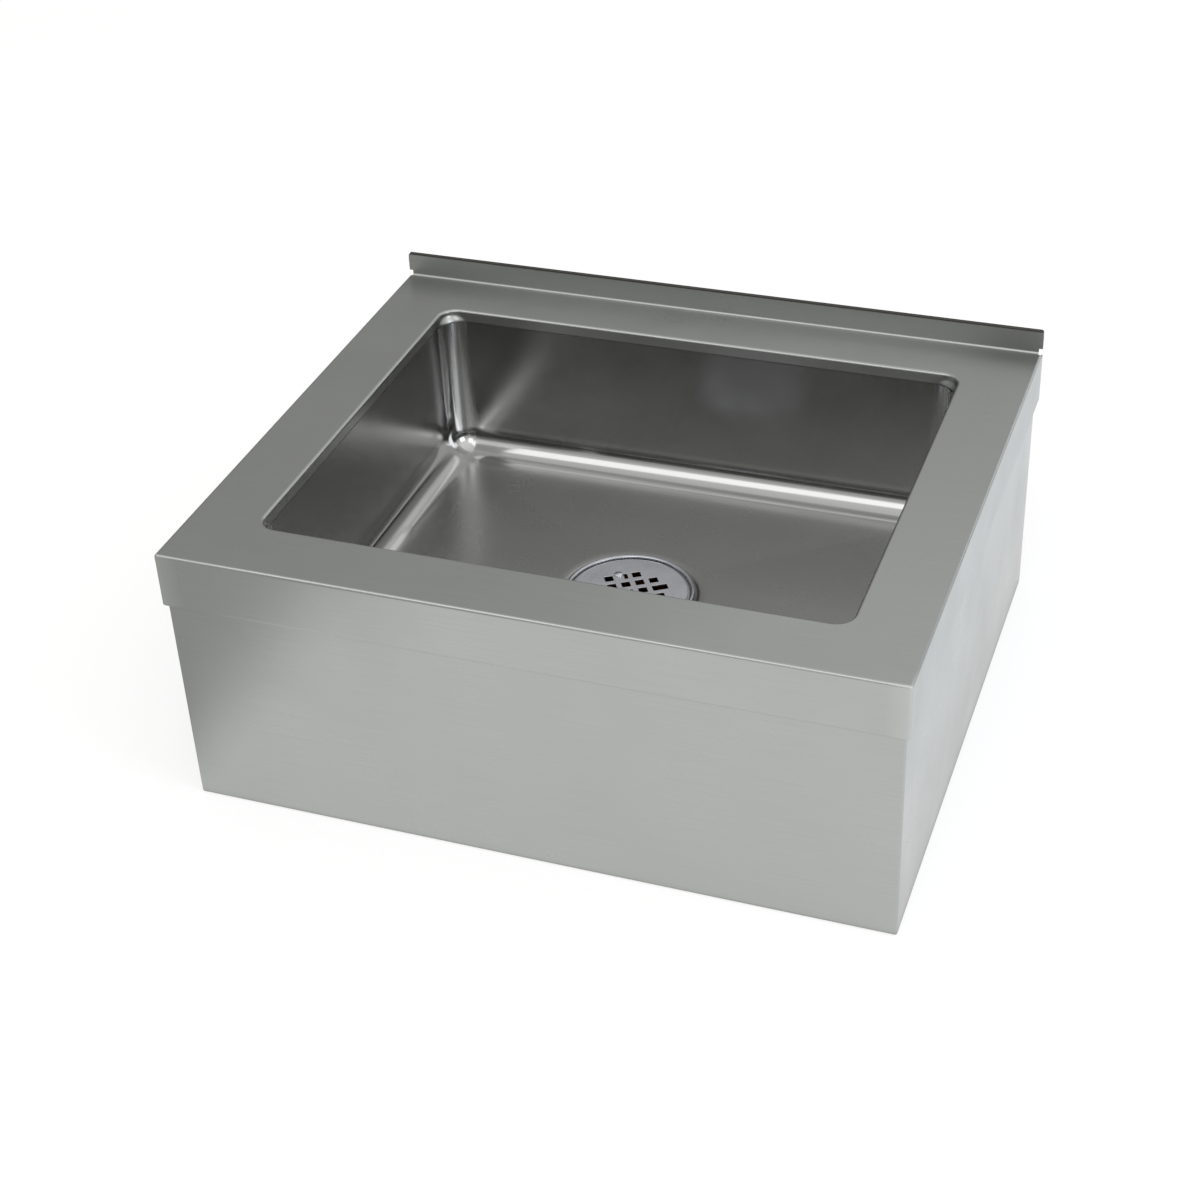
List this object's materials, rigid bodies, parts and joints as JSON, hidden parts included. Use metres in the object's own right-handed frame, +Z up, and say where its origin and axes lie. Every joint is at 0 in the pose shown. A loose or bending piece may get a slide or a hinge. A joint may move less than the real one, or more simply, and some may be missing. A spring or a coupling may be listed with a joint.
{
  "type": "mop service sink",
  "caption": "Floor-standing stainless mop service sink: folded deck with a rear splash, welded drawn bowl, four-panel skirt, and a grid drain with a screwed-down strainer.",
  "frame": {"origin": "middle of the base on the floor, under the middle of the sink's plan", "axes": "+X along the front from left to right, +Y to the back splash, +Z up"},
  "size_m": [0.635, 0.5334, 0.278],
  "materials": {
    "stainless_brushed": "satin, fine brushed grain along the front",
    "stainless_drawn": "satin, with polished coves",
    "stainless_mill": "mill finish, cold rolled",
    "sound_pad": "matt, moulded",
    "drain_plated": "satin plated flange over cast brass",
    "brass_cast": "sand cast and turned",
    "brass_tube": "drawn tube",
    "strainer_stainless": "pressed, fine satin",
    "screw_plated": "bright plated",
    "gasket_rubber": "smooth",
    "fibre": "red fibre board",
    "putty": "plumber's putty, dull"
  },
  "bodies": {
    "sink": {"deck_top": "stainless_brushed", "bowl": "stainless_drawn", "skirt_front": "stainless_brushed", "skirt_back": "stainless_brushed", "skirt_left": "stainless_brushed", "skirt_right": "stainless_brushed", "corner_angle_front_left": "stainless_mill", "corner_angle_front_right": "stainless_mill", "corner_angle_back_left": "stainless_mill", "corner_angle_back_right": "stainless_mill", "deck_channel_front": "stainless_mill", "deck_channel_back": "stainless_mill", "deck_channel_left": "stainless_mill", "deck_channel_right": "stainless_mill", "sound_pad_wall_front": "sound_pad", "sound_pad_wall_back": "sound_pad", "sound_pad_wall_left": "sound_pad", "sound_pad_wall_right": "sound_pad", "sound_pad_floor_left": "sound_pad", "sound_pad_floor_right": "sound_pad", "drain_body": "drain_plated", "putty_ring": "putty", "body_gasket": "gasket_rubber", "friction_ring": "fibre", "locknut": "brass_cast", "tail_washer": "gasket_rubber", "tailpiece": "brass_tube", "coupling_nut": "brass_cast"},
    "strainer": {"strainer_plate": "strainer_stainless"},
    "screw_back": {"strainer_screw_back": "screw_plated"},
    "screw_front": {"strainer_screw_front": "screw_plated"}
  },
  "joints": [
    {"name": "strainer_lift", "type": "slide", "parent": "sink", "child": "strainer", "axis": [0, 0, 1], "range_m": [0, 0.2]},
    {"name": "screw_back_turn", "type": "hinge", "parent": "strainer", "child": "screw_back", "pos_m": [-0.01844, 0.02385, 0.1012], "axis": [0, 0, 1], "continuous": true},
    {"name": "screw_front_turn", "type": "hinge", "parent": "strainer", "child": "screw_front", "pos_m": [0.01844, -0.02385, 0.1012], "axis": [0, 0, 1], "continuous": true}
  ]
}
